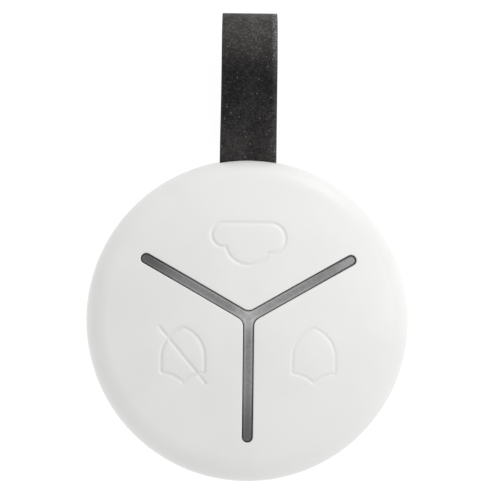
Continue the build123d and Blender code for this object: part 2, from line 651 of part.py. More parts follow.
def make_switch_dome(button):
    """The snap dome under the plunger: a thin dished disc that collapses when pressed."""
    crown = PLUNGER_BOTTOM - PLUNGER_PLAY / 2
    rise = crown - SWITCH_FLOOR
    outer = PLUNGER_FLANGE + PLUNGER_PLAY
    curve = (outer**2 + rise**2) / (2 * rise)
    cap = Sphere(curve) - Sphere(curve - SNAP_DOME_SHEET)
    return at_switch(button, Pos(0, 0, crown - curve) * cap & disc(outer, SWITCH_FLOOR, SWITCH_TOP))


def make_switch_terminals():
    """The solder tabs of the three switches."""
    length, width, height = TERMINAL_SIZE
    reach = (SWITCH_SIZE + length) / 2
    side = SWITCH_SIZE / 2 - width
    tabs = []
    for button in BUTTON_ANGLES:
        for x in (-reach, reach):
            for y in (-side, side):
                tabs.append(at_switch(button, chip((length, width, height), x, y, BOARD_TOP)))
    return group(tabs)


def make_leds():
    return group([chip(LED_SIZE, *polar(LED_RING, angle), BOARD_TOP, angle) for angle in ARM_ANGLES])


def make_small_chips(size, spots):
    """Small components, each square to its own radius."""
    return group([chip(size, *polar(reach, angle), BOARD_TOP, angle + 90) for reach, angle in spots])


def make_radio_chip():
    return chip(CHIP_SIZE, 0, CHIP_RING, BOARD_TOP)


def make_crystal():
    return chip(CRYSTAL_SIZE, (CHIP_SIZE[0] + CRYSTAL_SIZE[0]) / 2 + CHIP_SPACING, CHIP_RING, BOARD_TOP)


def make_antenna():
    angle = BUTTON_ANGLES["lower_left"]
    return chip(ANTENNA_SIZE, *polar(ANTENNA_RING, angle), BOARD_TOP, angle + 90)


def make_screws():
    """The four case screws, their heads towards the back."""
    screws = []
    for angle in SCREW_ANGLES:
        head = disc(SCREW_HEAD_RADIUS, SCREW_SEAT - SCREW_HEAD_HEIGHT, SCREW_SEAT)
        shank = disc(SCREW_RADIUS, SCREW_SEAT, SCREW_TIP)
        shank = chamfer(shank.edges().filter_by(GeomType.CIRCLE).sort_by(Axis.Z)[-1:], SCREW_RADIUS / 3)
        drive_top = SCREW_SEAT - SCREW_HEAD_HEIGHT + DRIVE_DEPTH
        wide, narrow = DRIVE_RADIUS, DRIVE_WIDTH / 2
        cross = block(-wide, wide, -narrow, narrow, 0, drive_top)
        cross += block(-narrow, narrow, -wide, wide, 0, drive_top)
        screws.append(Pos(*polar(BOSS_RING, angle), 0) * (head + shank - cross))
    return group(screws)


def make_door():
    """The round battery door: a flanged plate, a spigot round the cell, three lugs and a coin slot."""
    door_radius = FLANGE_RADIUS - DOOR_GAP
    door = disc(door_radius, DOOR_RECESS, DOOR_FLANGE_TOP) + disc(SPIGOT_OUTER, DOOR_RECESS, DOOR_PLATE_TOP)
    door += ring(SPIGOT_INNER, SPIGOT_OUTER, DOOR_FLANGE_TOP, LUG_TOP)
    for angle in lug_angles():
        door += ring_sector(SPIGOT_INNER, LUG_RADIUS, angle, LUG_SPAN, LUG_BOTTOM, LUG_TOP)
    slot_top = DOOR_RECESS + COIN_SLOT_DEPTH
    slot_plan = SlotOverall(COIN_SLOT_LENGTH, COIN_SLOT_WIDTH)
    door -= prism(slot_plan, -1, slot_top)
    mark_ring = door_radius - 2 * MARK_RADIUS - SMALLEST_EDGE
    return door - upright(mark_ring, 0, MARK_RADIUS, -1, DOOR_RECESS + MARK_DEPTH)


def make_door_seal():
    """The O-ring on the door's flange, between its spigot and the rear cover."""
    section = SEAL_SECTION / 2
    return Pos(0, 0, SEAL_BOTTOM + section) * Torus(SPIGOT_OUTER + SEAL_CLEARANCE + section, section)


def bend_room():
    """The wedges above and below the bend that the band sweeps as it swings."""
    reach = 3 * STRAP_THICKNESS
    back, side = polar(reach, 90 - STRAP_SWING)
    prisms = []
    for hand in (1, -1):
        wedge = make_face(Polyline((0, 0), (-back, hand * side), (0, hand * reach), close=True))
        prisms.append(extrude(Plane.YZ * wedge, amount=STRAP_WIDTH, both=True))
    return Pos(0, STRAP_PIVOT, PARTING_HEIGHT) * Compound(children=prisms)


def make_strap_tail():
    """The two ends of the band inside the case, laid together and hollowed at the bend."""
    half = STRAP_WIDTH / 2
    hollow = knuckle(STRAP_THICKNESS + KNUCKLE_CLEARANCE, STRAP_WIDTH + WALL)
    layers = []
    for bottom in (PARTING_HEIGHT - STRAP_THICKNESS, PARTING_HEIGHT):
        layer = block(-half, half, CRIMP_BACK + CRIMP_SHEET, STRAP_PIVOT, bottom, bottom + STRAP_THICKNESS)
        layers.append(layer - hollow - bend_room())
    return group(layers)


def knuckle(radius, length):
    """A roller about the line where the strap bends."""
    return Pos(0, STRAP_PIVOT, PARTING_HEIGHT) * Rot(0, 90, 0) * Cylinder(radius, length)


def make_strap_crimp():
    """The folded steel clamp that grips both ends of the band and can't pass the slot."""
    half = CRIMP_WIDTH / 2
    low = PARTING_HEIGHT - CRIMP_HALF_HEIGHT
    high = PARTING_HEIGHT + CRIMP_HALF_HEIGHT
    crimp = block(-half, half, CRIMP_BACK, CRIMP_FRONT, low, high)
    mouth = block(-half, half, CRIMP_BACK + CRIMP_SHEET, RADIUS, low + CRIMP_SHEET, high - CRIMP_SHEET)
    return crimp - mouth


def loop_line(offset):
    """The upper half of the loop seen from its side, as (y, z) with z from the mid-plane. The offset
    moves it off the middle of the band, outwards if positive. It gives the end points of four arcs
    that meet smoothly, and a point on each, from the bend at the root to the fold."""
    root_y = STRAP_PIVOT + STRAP_ROOT
    root_z = STRAP_THICKNESS / 2
    fold_y = RADIUS + STRAP_REACH - STRAP_THICKNESS / 2
    wide_y = fold_y - LOOP_WIDEST_FROM_FOLD + STRAP_THICKNESS / 2
    rise = LOOP_HALF_BULGE - root_z
    run = wide_y - root_y
    lean = 2 * math.atan(rise / run)
    both_radii = run / math.sin(lean)
    flank = both_radii - LOOP_ROOT_BEND
    fold_centre = fold_y - LOOP_FOLD_RADIUS
    reach = fold_centre - wide_y
    drop = LOOP_HALF_BULGE - LOOP_FOLD_RADIUS
    shoulder = (reach**2 + LOOP_HALF_BULGE**2 - LOOP_FOLD_RADIUS**2) / (2 * drop)
    turn = math.atan2(reach, shoulder - LOOP_HALF_BULGE)
    root_bend = LOOP_ROOT_BEND - offset

    def on_root(angle):
        return root_y + root_bend * math.sin(angle), root_z + LOOP_ROOT_BEND - root_bend * math.cos(angle)

    def on_flank(angle):
        radius = flank + offset
        return wide_y - radius * math.sin(angle), LOOP_HALF_BULGE - flank + radius * math.cos(angle)

    def on_shoulder(angle):
        radius = shoulder + offset
        return wide_y + radius * math.sin(angle), LOOP_HALF_BULGE - shoulder + radius * math.cos(angle)

    def on_fold(angle):
        radius = LOOP_FOLD_RADIUS + offset
        return fold_centre + radius * math.sin(angle), radius * math.cos(angle)

    cusp = 0.0
    if offset < 0:
        cusp = math.acos(1 - LOOP_CUSP_GAP / 2 / root_bend)
    quarter = math.pi / 2
    return [
        (on_root(cusp), on_root((cusp + lean) / 2), on_root(lean)),
        (on_root(lean), on_flank(lean / 2), on_flank(0)),
        (on_flank(0), on_shoulder(turn / 2), on_shoulder(turn)),
        (on_shoulder(turn), on_fold((turn + quarter) / 2), on_fold(quarter)),
    ]


def loop_face(offset):
    """The area inside the loop's outline at an offset from the middle of the band."""
    arcs = loop_line(offset)
    start_y, start_z = arcs[0][0]
    outline = Curve()
    for hand in (1, -1):
        for points in arcs:
            outline += ThreePointArc(*[(y, hand * z) for y, z in points])
    if offset > 0:
        back = STRAP_PIVOT
        for hand in (1, -1):
            outline += Line((back, hand * start_z), (start_y, hand * start_z))
        outline += Line((back, start_z), (back, -start_z))
    else:
        outline += Line((start_y, start_z), (start_y, -start_z))
    return make_face(outline)


def make_strap_loop():
    """The band outside the case: two layers that part into a teardrop and meet in a soft fold."""
    half = STRAP_THICKNESS / 2
    side_view = loop_face(half) - loop_face(-half)
    band = extrude(Plane.YZ * side_view, amount=STRAP_WIDTH / 2, both=True)
    return Pos(0, 0, PARTING_HEIGHT) * band + knuckle(STRAP_THICKNESS, STRAP_WIDTH)


def build():
    """Every piece of the fob, by the name of its node."""
    parts = {
        "front_cover": make_front_cover(),
        "rear_cover": make_rear_cover(),
        "light_guide": make_light_guide(),
        "circuit_board": make_board(),
        "inner_frame": make_inner_frame(),
        "cell_can": make_cell_can(),
        "cell_cap": make_cell_cap(),
        "cell_gasket": make_cell_gasket(),
        "negative_contact": make_negative_contact(),
        "positive_contact": make_positive_contact(),
        "switch_terminals": make_switch_terminals(),
        "indicator_leds": make_leds(),
        "radio_chip": make_radio_chip(),
        "crystal": make_crystal(),
        "antenna": make_antenna(),
        "capacitors": make_small_chips(CAPACITOR_SIZE, CAPACITOR_SPOTS),
        "resistors": make_small_chips(RESISTOR_SIZE, RESISTOR_SPOTS),
        "case_screws": make_screws(),
        "battery_door": make_door(),
        "door_seal": make_door_seal(),
        "strap_tail": make_strap_tail(),
        "strap_crimp": make_strap_crimp(),
        "strap_loop": make_strap_loop(),
    }
    for button in BUTTON_ANGLES:
        parts[f"button_{button}"] = make_button(button)
        parts[f"switch_body_{button}"] = make_switch_body(button)
        parts[f"switch_plunger_{button}"] = make_switch_plunger(button)
        parts[f"switch_dome_{button}"] = make_switch_dome(button)
    return parts


if __name__ == "__main__":
    os.makedirs("parts", exist_ok=True)
    for name, shape in build().items():
        export_step(shape, f"parts/{name}.step")
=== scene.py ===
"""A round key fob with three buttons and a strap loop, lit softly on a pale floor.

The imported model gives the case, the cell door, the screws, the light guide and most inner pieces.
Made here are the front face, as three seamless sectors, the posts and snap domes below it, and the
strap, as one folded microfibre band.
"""

import json
import math

import bpy
import numpy as np
from mathutils import Matrix, Vector
from mathutils.geometry import delaunay_2d_cdt


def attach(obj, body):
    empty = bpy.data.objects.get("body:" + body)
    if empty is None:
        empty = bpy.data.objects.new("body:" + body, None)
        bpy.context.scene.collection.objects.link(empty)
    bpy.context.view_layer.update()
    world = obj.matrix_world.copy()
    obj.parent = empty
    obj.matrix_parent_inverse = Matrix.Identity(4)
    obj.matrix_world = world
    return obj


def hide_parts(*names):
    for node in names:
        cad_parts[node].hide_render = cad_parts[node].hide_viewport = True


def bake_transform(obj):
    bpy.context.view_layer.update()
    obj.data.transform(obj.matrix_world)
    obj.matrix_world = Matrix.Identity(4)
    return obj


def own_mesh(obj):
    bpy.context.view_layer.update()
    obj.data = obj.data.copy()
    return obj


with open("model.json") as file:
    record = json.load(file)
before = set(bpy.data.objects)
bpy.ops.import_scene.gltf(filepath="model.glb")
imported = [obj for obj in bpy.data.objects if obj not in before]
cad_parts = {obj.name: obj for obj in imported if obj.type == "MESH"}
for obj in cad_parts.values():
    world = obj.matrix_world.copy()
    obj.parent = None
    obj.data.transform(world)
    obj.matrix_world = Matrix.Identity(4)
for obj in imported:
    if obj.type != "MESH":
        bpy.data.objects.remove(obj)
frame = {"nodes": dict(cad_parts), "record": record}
bpy.ops.object.select_all(action="DESELECT")
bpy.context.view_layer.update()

MM = 0.001

# The case's outer form, in millimetres
RADIUS = 21.0
THICKNESS = 11.0
DOME_RADIUS = 70.0  # the curve of the face
DOME_CENTRE = THICKNESS - DOME_RADIUS
RIM_ROUND = 3.7  # the curve between the face and the side
FACE_WALL = 1.2
PARTING = 5.0  # the height at which the two shells meet
SEAM_TOP = 5.1
SEAM_DEPTH = 0.3

# The round between the dome and the parting line
RIM_CENTRE = RADIUS - RIM_ROUND
RIM_CENTRE_HEIGHT = DOME_CENTRE + math.sqrt((DOME_RADIUS - RIM_ROUND) ** 2 - RIM_CENTRE**2)
RIM_LEAN = math.asin(RIM_CENTRE / (DOME_RADIUS - RIM_ROUND))
PLAN_RADIUS = DOME_RADIUS * math.sin(RIM_LEAN)  # where the dome ends and the round starts

# The posts and the snap domes under the buttons
SWITCH_RING = 6.5  # how far they stand from the middle
POST_BOTTOM = 8.081
POST = (
    (1.05, POST_BOTTOM), (1.2, POST_BOTTOM + 0.12), (1.2, 9.05),
    (1.3, 9.35), (1.55, 9.6), (1.55, 10.0),
)
SNAP_FLOOR = 6.6565  # the height that a snap dome stands at
SNAP_RISE = 0.555
SNAP_RADIUS = 1.15
SNAP_SHEET = 0.08  # the thickness of its metal
SNAP_CROWN = 0.2  # the angle from its axis, in radians, at which its flat middle ends

# The Y-shaped slot
BUTTONS = {"upper": 90, "lower_left": 210, "lower_right": 330}  # the sectors between its arms
HALF_SLOT = 0.71
SLOT_REACH = 16.05
JUNCTION_ROUND = 1.2  # the rounding of the corners where the arms meet
SLOT_EDGE_ROUND = 0.15
COS30, SIN30 = math.cos(math.radians(30)), 0.5
TIP_CENTRE = SLOT_REACH - HALF_SLOT  # the middle of an arm's round end, along the arm
JUNCTION_CENTRE = (HALF_SLOT + JUNCTION_ROUND) / COS30
JUNCTION_TANGENT = JUNCTION_CENTRE * SIN30  # where an arm's straight edge starts, along the arm
SLOT_STEP = 0.55  # the distance between two points of its edge
# How far inside the slot's edge the lines lie that carry its rounding
SLOT_INSETS = (0.01, 0.035, 0.075, 0.12, SLOT_EDGE_ROUND)

# The pressed symbols
SYMBOL_RING = 9.78  # how far they lie from the middle of the face
STROKE_STEP = 0.16  # the distance between two points of a stroke
# Half a groove's width at the surface, and its depth
GROOVES = {"upper": (0.36, 0.16), "lower_left": (0.34, 0.20), "lower_right": (0.32, 0.10)}
GROOVE_FLOOR = 0.03  # half the width of its flat floor
GROOVE_ROUND = 0.07  # how far the rounding at its floor and its edges reaches

# The strap
STRAP_WIDTH = 7.26
STRAP_FOLD_WIDTH = 7.16
STRAP_THICKNESS = 0.9
STRAP_MID = 5.0  # the height between its two layers
STRAP_START = 15.5  # where its ends lie inside the case
STRAP_ROOT = 22.2  # where its layers start to part
STRAP_NARROW = 30.0  # from here on the strap is as narrow as at its fold
STRAP_WIDEST = 34.2  # where the loop is widest, seen from its side
STRAP_FOLD = 39.85  # how far the middle of the band reaches
HALF_BULGE = 3.3  # how far the middle of a layer lies from STRAP_MID there
ROOT_BEND = 8.0  # the curve of a layer where they part
FOLD_ROUND = 2.6  # the curve at the fold
OPENING_HALF_WIDTH = 3.825  # the strap's opening in the rim
OPENING_TOP = 6.15
RIM_RELIEF = 0.21  # how far the rim stands back above the strap
UNDER_LAYER_SHIFT = -0.16  # how far the lower layer lies to the side
STRAP_EDGE_ROUND = 0.07
THICK_NEAR_FOLD = (2.0, 5.0)  # how far from the fold the edges start, and end, to thin
# The band thins towards its edges: distance from the edge, share of the thickness
THIN_EDGE = ((0.0, 0.55), (0.12, 0.72), (0.26, 0.86), (0.42, 0.95), (0.62, 1.0))

# Angles along the rim, in degrees from a sector's axis
HALF_SECTOR = 60
FIRST_RAY = 59.75  # a line close beside each end of a sector keeps its shading even
RIM_STEP = 1.25
NOTCH = math.degrees(math.asin(OPENING_HALF_WIDTH / RADIUS))  # where the strap's opening ends
NOTCH_SIDE = 0.3  # over this angle the rim steps back at each end of the opening


# Paint

class Paint:
    """A number, colour or vector in a material. Arithmetic on it adds Math nodes."""

    def __init__(self, maker, socket):
        self.maker = maker
        self.socket = socket

    def __add__(self, other):
        return self.maker.math("ADD", self, other)

    def __radd__(self, other):
        return self.maker.math("ADD", other, self)

    def __sub__(self, other):
        return self.maker.math("SUBTRACT", self, other)

    def __rsub__(self, other):
        return self.maker.math("SUBTRACT", other, self)

    def __mul__(self, other):
        return self.maker.math("MULTIPLY", self, other)

    def __rmul__(self, other):
        return self.maker.math("MULTIPLY", other, self)

    def __pow__(self, other):
        return self.maker.math("POWER", self, other)

    def __abs__(self):
        return self.maker.math("ABSOLUTE", self)


class Nodes:
    """A node tree that is written as Python expressions."""

    def __init__(self, tree):
        self.tree = tree

    def feed(self, socket, value):
        if isinstance(value, Paint):
            self.tree.links.new(value.socket, socket)
        elif isinstance(value, tuple) and len(value) == 3 and socket.type == "RGBA":
            socket.default_value = (*value, 1.0)
        else:
            socket.default_value = value

    def node(self, kind, settings, inputs, output=0):
        made = self.tree.nodes.new(kind)
        for name, value in settings.items():
            setattr(made, name, value)
        for name, value in inputs.items():
            self.feed(made.inputs[name], value)
        return Paint(self, made.outputs[output])

    def math(self, operation, first, second=0.0):
        return self.node("ShaderNodeMath", {"operation": operation}, {0: first, 1: second})

    def highest(self, first, *others):
        for other in others:
            first = self.math("MAXIMUM", first, other)
        return first

    def lowest(self, first, *others):
        for other in others:
            first = self.math("MINIMUM", first, other)
        return first

    def axes(self, vector):
        split = self.node("ShaderNodeSeparateXYZ", {}, {0: vector})
        return [Paint(self, socket) for socket in split.socket.node.outputs]

    def rays(self, *kinds):
        """1 for rays of the given kinds, and 0 for the rest."""
        answers = [self.node("ShaderNodeLightPath", {}, {}, f"Is {kind} Ray") for kind in kinds]
        return self.highest(*answers)

    def ramp(self, value, low, high, start=0.0, end=1.0):
        """Follows a value smoothly from start, at low, to end, at high."""
        inputs = {"Value": value, "From Min": low, "From Max": high, "To Min": start, "To Max": end}
        return self.node("ShaderNodeMapRange", {"interpolation_type": "SMOOTHSTEP"}, inputs)


class Finish(Nodes):
    """A material made of nodes round one Principled shader. Its colours are linear."""

    def __init__(self, name, **constants):
        self.material = bpy.data.materials.new(name)
        self.material.use_nodes = True
        super().__init__(self.material.node_tree)
        self.shader = self.tree.nodes["Principled BSDF"]
        for words, value in constants.items():
            self.shader.inputs[words.replace("_", " ")].default_value = value

    def place(self, scale=(1.0, 1.0, 1.0), turn=(0.0, 0.0, 0.0)):
        """The object's own coordinates in millimetres, stretched and turned."""
        here = self.node("ShaderNodeTexCoord", {}, {}, "Object")
        stretch = tuple(s / MM for s in scale)
        return self.node("ShaderNodeMapping", {}, {"Vector": here, "Scale": stretch, "Rotation": turn})

    def noise(self, where, per_mm, detail=2.0, roughness=0.5):
        inputs = {"Vector": where, "Scale": per_mm, "Detail": detail, "Roughness": roughness}
        return self.node("ShaderNodeTexNoise", {}, inputs)

    def cells(self, where, per_mm):
        """How far a place is from the middle of its cell."""
        return self.node("ShaderNodeTexVoronoi", {}, {"Vector": where, "Scale": per_mm}, "Distance")

    def blend(self, factor, first, second):
        return self.node("ShaderNodeMix", {"data_type": "RGBA"}, {0: factor, 6: first, 7: second}, 2)

    def bump(self, height, millimetres):
        inputs = {"Height": height, "Distance": millimetres * MM, "Strength": 1.0}
        self.set("Normal", self.node("ShaderNodeBump", {}, inputs))

    def set(self, name, value):
        self.feed(self.shader.inputs[name], value)


def white_plastic():
    finish = Finish("satin white plastic", IOR=1.5)
    here = finish.place()
    cloud = finish.noise(here, 0.09, 3.0)
    grain = finish.noise(here, 9.0, 3.0, 0.6)
    darker, lighter = (0.802, 0.804, 0.790), (0.830, 0.830, 0.813)
    finish.set("Base Color", finish.blend(finish.ramp(cloud, 0.35, 0.65), darker, lighter))
    finish.set("Roughness", 0.33 + 0.06 * grain + 0.03 * cloud)
    finish.bump(grain, 0.0022)
    return finish.material


def smoked_guide():
    """Painted reflection and highlight: darker at its arms' ends, paler on the arm that catches the
    light and at its edges.
    """
    finish = Finish("smoked light guide", IOR=1.54)
    here = finish.place()
    x, y, _ = finish.axes(here)
    ring = (x * x + y * y) ** 0.5
    from_arms = []
    for angle in (30, 150, 270):
        cos, sin = math.cos(math.radians(angle)), math.sin(math.radians(angle))
        from_arms.append(finish.highest(-cos * x - sin * y, abs(cos * y - sin * x)))
    from_middle = finish.lowest(*from_arms)
    # Painted highlight: pale lines along the arms' edges and round their ends
    bevel_highlight = finish.highest(finish.ramp(from_middle, 0.26, 0.46), finish.ramp(ring, 15.55, 15.75))
    haze = finish.noise(here, 0.35, 2.0)
    streak = finish.noise(here, 2.2, 3.0, 0.6)
    dust = finish.cells(finish.place((1.0, 1.0, 0.3)), 1.3)
    speck = finish.ramp(dust, 0.03, 0.06, 1.0, 0.0)
    # Painted reflection: the arms darken towards their ends
    arm = finish.blend(finish.ramp(ring, 7.5, 15.8), (0.222, 0.222, 0.225), (0.058, 0.058, 0.06))
    # Painted light: the arm towards +X, which faces the key lamp, is paler all along
    lit_arm = finish.blend(finish.ramp(ring, 2.0, 15.0), (0.30, 0.297, 0.295), (0.185, 0.183, 0.183))
    arm = finish.blend(finish.ramp(x, 0.5, 3.2), arm, lit_arm)
    # Painted reflection: paler round the junction
    tint = finish.blend(finish.ramp(ring, 0.2, 3.4), (0.43, 0.43, 0.435), arm)
    tint = finish.blend(0.2 * finish.ramp(haze, 0.3, 0.7), tint, (0.20, 0.20, 0.205))
    tint = finish.blend(0.2 * finish.ramp(streak, 0.42, 0.62), tint, (0.05, 0.05, 0.05))
    # The painted edge highlight, weaker towards the arms' ends
    tint = finish.blend(bevel_highlight * finish.ramp(ring, 6.0, 15.8, 0.24, 0.07), tint, (0.9, 0.9, 0.9))
    finish.set("Base Color", finish.blend(0.5 * speck, tint, (0.45, 0.45, 0.45)))
    finish.set("Roughness", 0.10 + 0.10 * haze + 0.3 * speck)
    return finish.material


def strap_fabric():
    """Charcoal, with painted light that makes it paler round the fold, along one edge and towards the
    root.
    """
    finish = Finish(
        "charcoal microfibre", IOR=1.22,
        Sheen_Weight=0.12, Sheen_Roughness=0.4, Sheen_Tint=(0.78, 0.76, 0.74, 1.0))
    along = finish.node("ShaderNodeAttribute", {"attribute_name": "band"}, {}, "Vector")
    u, from_fold, _ = finish.axes(along)
    fine = finish.noise(along, 4.6, 3.0, 0.75)
    grain = finish.noise(along, 1.5, 3.0, 0.65)
    patch = finish.noise(along, 0.3, 2.0, 0.55)
    fleck = finish.ramp(finish.cells(along, 1.4), 0.06, 0.12, 1.0, 0.0)
    # Painted light: paler round the fold, where the band turns towards the lamps
    fold_painted_light = finish.ramp(abs(from_fold) + 1.5 * patch, 4.4, 10.6, 1.0, 0.0)
    # Painted light: paler along the +X edge, which faces the key lamp
    edge_painted_light = finish.ramp(u + 0.4 * grain, 2.95, 3.6)
    # Painted sheen: paler towards the root, where the band tilts away from flat
    root_painted_sheen = finish.ramp(abs(from_fold) + 2.0 * patch, 11.5, 21.0)
    # How much painted light each place takes, which pales both ends of the colour
    painted_light_share = 0.85 * fold_painted_light + (0.42 + 0.5 * fold_painted_light) * edge_painted_light + 0.3 * root_painted_sheen
    tone = (
        0.6 * finish.ramp(fine, 0.33, 0.67) + 0.25 * finish.ramp(grain, 0.34, 0.66)
        + 0.15 * finish.ramp(patch, 0.3, 0.7))
    dark = finish.blend(painted_light_share, (0.0032, 0.0029, 0.0031), (0.035, 0.0322, 0.0302))
    light = finish.blend(painted_light_share, (0.051, 0.048, 0.0495), (0.158, 0.15, 0.143))
    tint = finish.blend(tone * tone, dark, light)
    # Painted highlight: a pale fringe along the +X edge near the fold
    edge_painted_highlight = edge_painted_light * fold_painted_light * finish.ramp(fine, 0.44, 0.66, 0.02, 0.4)
    tint = finish.blend(edge_painted_highlight, tint, (0.5, 0.49, 0.48))
    finish.set("Base Color", finish.blend(fleck * (0.8 - 0.45 * fold_painted_light), tint, (0.3, 0.295, 0.29)))
    finish.set("Roughness", 0.72 + 0.16 * fine)
    finish.bump(0.7 * fine + 0.3 * grain, 0.08)
    return finish.material


def grained(name, ior, grain_size, darker, lighter, roughness, depth):
    """A plain finish whose fine grain shows in its colour, its roughness and its relief."""
    finish = Finish(name, IOR=ior)
    grain = finish.noise(finish.place(), *grain_size)
    finish.set("Base Color", finish.blend(grain, darker, lighter))
    smoothest, spread = roughness
    finish.set("Roughness", smoothest + spread * grain)
    finish.bump(grain, depth)
    return finish.material


def board():
    finish = Finish("green solder mask", IOR=1.5, Coat_Weight=0.4, Coat_Roughness=0.2)
    here = finish.place()
    lines = finish.node("ShaderNodeTexBrick", {"offset": 0.35, "squash": 0.6}, {
        "Vector": finish.place(turn=(0.0, 0.0, 0.79)), "Scale": 0.42,
        "Color1": (0.0, 0.0, 0.0), "Color2": (0.0, 0.0, 0.0), "Mortar": (1.0, 1.0, 1.0),
        "Mortar Size": 0.035, "Mortar Smooth": 0.1,
    }, "Fac")
    speck = finish.noise(here, 3.0, 2.0)
    mask = finish.blend(speck, (0.008, 0.075, 0.03), (0.012, 0.10, 0.042))
    finish.set("Base Color", finish.blend(0.6 * lines, mask, (0.03, 0.19, 0.08)))
    finish.set("Roughness", 0.3 + 0.15 * speck)
    finish.bump(lines, 0.02)
    return finish.material


def led_resin():
    finish = Finish("clear lamp resin", IOR=1.5, Coat_Weight=0.6, Coat_Roughness=0.08)
    glow = finish.noise(finish.place(), 1.8, 1.0)
    finish.set("Base Color", finish.blend(glow, (0.78, 0.74, 0.5), (0.86, 0.85, 0.72)))
    finish.set("Roughness", 0.16 + 0.1 * glow)
    return finish.material


def steel(name, colour, per_mm, smoothest, stretch):
    """Bare metal with a brushed grain, which the stretch draws out into lines, and faint stains."""
    finish = Finish(name, Metallic=1.0)
    brushed = finish.noise(finish.place(stretch), per_mm, 3.0, 0.6)
    stain = finish.noise(finish.place(), 0.5, 2.0)
    darker = tuple(0.82 * part for part in colour)
    finish.set("Base Color", finish.blend(0.6 * brushed + 0.4 * stain, colour, darker))
    finish.set("Roughness", smoothest + 0.16 * brushed)
    finish.bump(brushed, 0.004)
    return finish.material


FINISHES = {
    "white_plastic": white_plastic(),
    "smoked_guide": smoked_guide(),
    "strap_fabric": strap_fabric(),
    "black_plastic": grained(
        "matte black plastic", 1.48, (7.0, 3.0),
        (0.018, 0.018, 0.02), (0.032, 0.032, 0.034), (0.42, 0.18), 0.004),
    "chip_black": grained(
        "moulding compound", 1.5, (14.0, 2.0),
        (0.022, 0.022, 0.023), (0.04, 0.04, 0.042), (0.55, 0.2), 0.003),
    "board": board(),
    "ceramic": grained(
        "fired ceramic", 1.6, (6.0, 3.0),
        (0.33, 0.25, 0.17), (0.45, 0.36, 0.25), (0.45, 0.2), 0.004),
    "led": led_resin(),
    "cell_steel": steel("brushed cell steel", (0.66, 0.66, 0.67), 2.2, 0.24, (1.0, 9.0, 1.0)),
    "spring_metal": steel("plated spring steel", (0.70, 0.68, 0.62), 3.0, 0.2, (1.0, 6.0, 1.0)),
    "screw_steel": steel("zinc-plated steel", (0.52, 0.52, 0.54), 4.0, 0.28, (1.0, 1.0, 1.0)),
    "seal_rubber": grained(
        "black rubber", 1.5, (5.0, 3.0),
        (0.012, 0.012, 0.012), (0.026, 0.026, 0.026), (0.6, 0.2), 0.006),
}

for entry in frame["record"]["subparts"]:
    shape = frame["nodes"][entry["node"]]
    shape.data.materials.clear()
    shape.data.materials.append(FINISHES[entry["material_slot"]])


# Shapes

def piece(name, points, faces, finish):
    """A mesh object from points in millimetres, for shapes that no primitive leads to."""
    mesh = bpy.data.meshes.new(name)
    mesh.from_pydata([tuple(MM * c for c in point) for point in points], [], faces)
    mesh.materials.append(FINISHES[finish])
    made = bpy.data.objects.new(name, mesh)
    bpy.context.collection.objects.link(made)
    return made


def pick(made):
    """Selects one piece alone and makes it the active one."""
    bpy.ops.object.select_all(action="DESELECT")
    made.select_set(True)
    bpy.context.view_layer.objects.active = made


def smooth(made, degrees):
    """Shades a piece smooth except over edges that are sharper than an angle."""
    pick(made)
    bpy.ops.object.shade_smooth_by_angle(angle=math.radians(degrees))
    made.select_set(False)


def applied(made, kind, **settings):
    """Gives a piece a modifier and applies it."""
    modifier = made.modifiers.new(kind, kind)
    for name, value in settings.items():
        setattr(modifier, name, value)
    pick(made)
    bpy.ops.object.modifier_apply(modifier=modifier.name)
    made.select_set(False)


def arc(start, through, end, step):
    """Points along the arc through three points, both ends included."""
    (ax, ay), (bx, by), (cx, cy) = start, through, end
    a, b, c = ax**2 + ay**2, bx**2 + by**2, cx**2 + cy**2
    twice_area = 2 * (ax * (by - cy) + bx * (cy - ay) + cx * (ay - by))
    middle_x = (a * (by - cy) + b * (cy - ay) + c * (ay - by)) / twice_area
    middle_y = (a * (cx - bx) + b * (ax - cx) + c * (bx - ax)) / twice_area
    radius = math.hypot(ax - middle_x, ay - middle_y)
    first, halfway, last = (math.atan2(y - middle_y, x - middle_x) for x, y in (start, through, end))
    full = 2 * math.pi
    sweep = (last - first) % full
    if (halfway - first) % full > sweep:
        sweep -= full
    count = max(2, math.ceil(abs(sweep) * radius / step))
    turns = [first + sweep * i / count for i in range(count + 1)]
    return [(middle_x + radius * math.cos(t), middle_y + radius * math.sin(t)) for t in turns]


def straight(start, end, step):
    """Points along a straight line, both ends included."""
    count = max(1, math.ceil(math.dist(start, end) / step))
    return [tuple(a + (b - a) * i / count for a, b in zip(start, end)) for i in range(count + 1)]


def joined(*runs):
    """Runs of points as one, where each starts at the last one's end."""
    path = list(runs[0])
    for run in runs[1:]:
        path += run[1:]
    return path


def shield():
    """A closed outline with straight sides, a pointed arch on top and a swept peak below."""
    half, tip, shoulder, corner, peak = 2.8, 3.6, -0.26, -2.25, -3.46
    rise = tip - shoulder
    reach = (half**2 + rise**2) / (2 * half)
    bulge = half - reach + math.sqrt(reach**2 - (rise / 2) ** 2)
    sides = []
    for hand in (-1, 1):
        side_top = (hand * half, shoulder)
        # The rounded corner leaves the side here, and passes the knuckle to meet the base at the toe
        foot = (hand * half, corner + 0.3)
        knuckle = (hand * (half - 0.09), corner + 0.07)
        toe = (hand * (half - 0.32), corner - 0.02)
        sides.append(joined(
            arc((0.0, tip), (hand * bulge, shoulder + rise / 2), side_top, STROKE_STEP),
            straight(side_top, foot, STROKE_STEP),
            arc(foot, knuckle, toe, STROKE_STEP / 2),
            arc(toe, (hand * 1.15, -2.65), (0.0, peak), STROKE_STEP),
        ))
    return sides[0] + sides[1][-2:0:-1] + [sides[0][0]]


